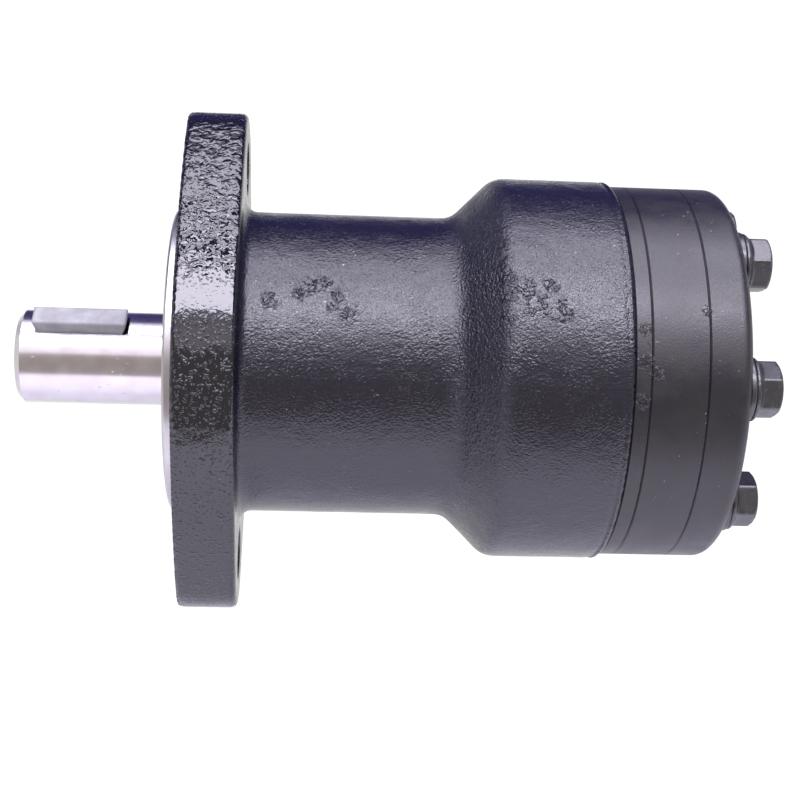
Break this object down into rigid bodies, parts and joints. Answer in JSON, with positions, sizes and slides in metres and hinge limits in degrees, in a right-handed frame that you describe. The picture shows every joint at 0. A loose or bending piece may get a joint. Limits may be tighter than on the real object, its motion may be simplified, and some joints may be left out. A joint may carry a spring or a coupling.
{
  "type": "hydraulic motor",
  "caption": "Low-speed orbital hydraulic motor with a two-bolt oval flange, a keyed straight shaft, a round cast housing with rear ports, a roller gear set and a bolted end cover.",
  "frame": {"origin": "centre of the flange mounting face, on the shaft axis", "axes": "shaft points to -X, end cover to +X, flange ears along Z, ports face +Y"},
  "size_m": [0.1982, 0.1116, 0.1366],
  "materials": {
    "cast_enamel": "glossy black enamel over rough sand-cast iron",
    "plate_paint": "satin black paint over turned steel",
    "front_cover_steel": "turned bare steel",
    "black_oxide": "satin black oxide on steel",
    "shaft_steel": "ground bright steel",
    "key_steel": "sawn and ground plain steel",
    "hard_steel": "hardened and ground steel",
    "bearing_steel": "polished bearing steel",
    "seal_rubber": "black nitrile rubber",
    "zinc_steel": "bright zinc plate"
  },
  "bodies": {
    "motor_body": {"housing": "cast_enamel", "front_cover": "front_cover_steel", "front_cover_screws": "black_oxide", "front_cover_o_ring": "seal_rubber", "dust_seal": "seal_rubber", "shaft_seal": "seal_rubber", "seal_garter_spring": "bearing_steel", "thrust_washer_front": "hard_steel", "spacer_plate": "plate_paint", "gear_ring": "plate_paint", "end_cover": "plate_paint", "end_cover_bolts": "black_oxide", "bolt_washers": "black_oxide", "housing_o_ring": "seal_rubber", "spacer_o_ring": "seal_rubber", "cover_o_ring": "seal_rubber", "check_spring_a": "bearing_steel", "check_spring_b": "bearing_steel", "check_seats": "hard_steel", "check_plugs": "black_oxide", "drain_plug": "zinc_steel", "drain_seal_ring": "seal_rubber"},
    "shaft": {"output_shaft": "shaft_steel", "woodruff_key": "key_steel", "thrust_washer_rear": "hard_steel"},
    "bearing": {"thrust_bearing_cage": "hard_steel", "thrust_bearing_needles": "bearing_steel"},
    "orbit_carrier": {"drive_spacer": "hard_steel"},
    "star_rotor": {"star": "hard_steel"},
    "cardan": {"cardan_shaft": "hard_steel"},
    "ball_a": {"check_ball_a": "bearing_steel"},
    "ball_b": {"check_ball_b": "bearing_steel"},
    "roller_1": {"roller_1": "hard_steel"},
    "roller_2": {"roller_2": "hard_steel"},
    "roller_3": {"roller_3": "hard_steel"},
    "roller_4": {"roller_4": "hard_steel"},
    "roller_5": {"roller_5": "hard_steel"},
    "roller_6": {"roller_6": "hard_steel"},
    "roller_7": {"roller_7": "hard_steel"}
  },
  "joints": [
    {"name": "shaft_spin", "type": "hinge", "parent": "motor_body", "child": "shaft", "pos_m": [0, 0, 0], "axis": [1, 0, 0], "continuous": true},
    {"name": "bearing_spin", "type": "hinge", "parent": "motor_body", "child": "bearing", "pos_m": [0.0114, 0, 0], "axis": [1, 0, 0], "continuous": true},
    {"name": "orbit", "type": "hinge", "parent": "motor_body", "child": "orbit_carrier", "pos_m": [0.126, 0, 0], "axis": [1, 0, 0], "continuous": true},
    {"name": "star_spin", "type": "hinge", "parent": "orbit_carrier", "child": "star_rotor", "pos_m": [0.126, -0.0023, -0.00142], "axis": [1, 0, 0], "continuous": true},
    {"name": "cardan_spin", "type": "hinge", "parent": "orbit_carrier", "child": "cardan", "pos_m": [0.053, 0, 0], "axis": [0.9993, -0.0317, -0.0196], "continuous": true},
    {"name": "roller_1_spin", "type": "hinge", "parent": "motor_body", "child": "roller_1", "pos_m": [0.126, -0.02807, -0.01735], "axis": [1, 0, 0], "continuous": true},
    {"name": "roller_2_spin", "type": "hinge", "parent": "motor_body", "child": "roller_2", "pos_m": [0.126, -0.00394, -0.03276], "axis": [1, 0, 0], "continuous": true},
    {"name": "roller_3_spin", "type": "hinge", "parent": "motor_body", "child": "roller_3", "pos_m": [0.126, 0.02316, -0.02351], "axis": [1, 0, 0], "continuous": true},
    {"name": "roller_4_spin", "type": "hinge", "parent": "motor_body", "child": "roller_4", "pos_m": [0.126, 0.03282, 0.00345], "axis": [1, 0, 0], "continuous": true},
    {"name": "roller_5_spin", "type": "hinge", "parent": "motor_body", "child": "roller_5", "pos_m": [0.126, 0.01777, 0.02781], "axis": [1, 0, 0], "continuous": true},
    {"name": "roller_6_spin", "type": "hinge", "parent": "motor_body", "child": "roller_6", "pos_m": [0.126, -0.01067, 0.03123], "axis": [1, 0, 0], "continuous": true},
    {"name": "roller_7_spin", "type": "hinge", "parent": "motor_body", "child": "roller_7", "pos_m": [0.126, -0.03107, 0.01113], "axis": [1, 0, 0], "continuous": true},
    {"name": "check_a_lift", "type": "slide", "parent": "motor_body", "child": "ball_a", "axis": [0, -1, 0], "range_m": [0, 0.001], "stiffness_N_per_m": 200, "springref_m": -0.0005, "deforming": ["check_spring_a"]},
    {"name": "check_b_lift", "type": "slide", "parent": "motor_body", "child": "ball_b", "axis": [0, -1, 0], "range_m": [0, 0.001], "stiffness_N_per_m": 200, "springref_m": -0.0005, "deforming": ["check_spring_b"]}
  ],
  "couplings": [
    {"joint": "bearing_spin", "follows": "shaft_spin", "ratio": 0.5},
    {"joint": "orbit", "follows": "shaft_spin", "ratio": -6},
    {"joint": "star_spin", "follows": "shaft_spin", "ratio": 7},
    {"joint": "cardan_spin", "follows": "shaft_spin", "ratio": 7}
  ]
}
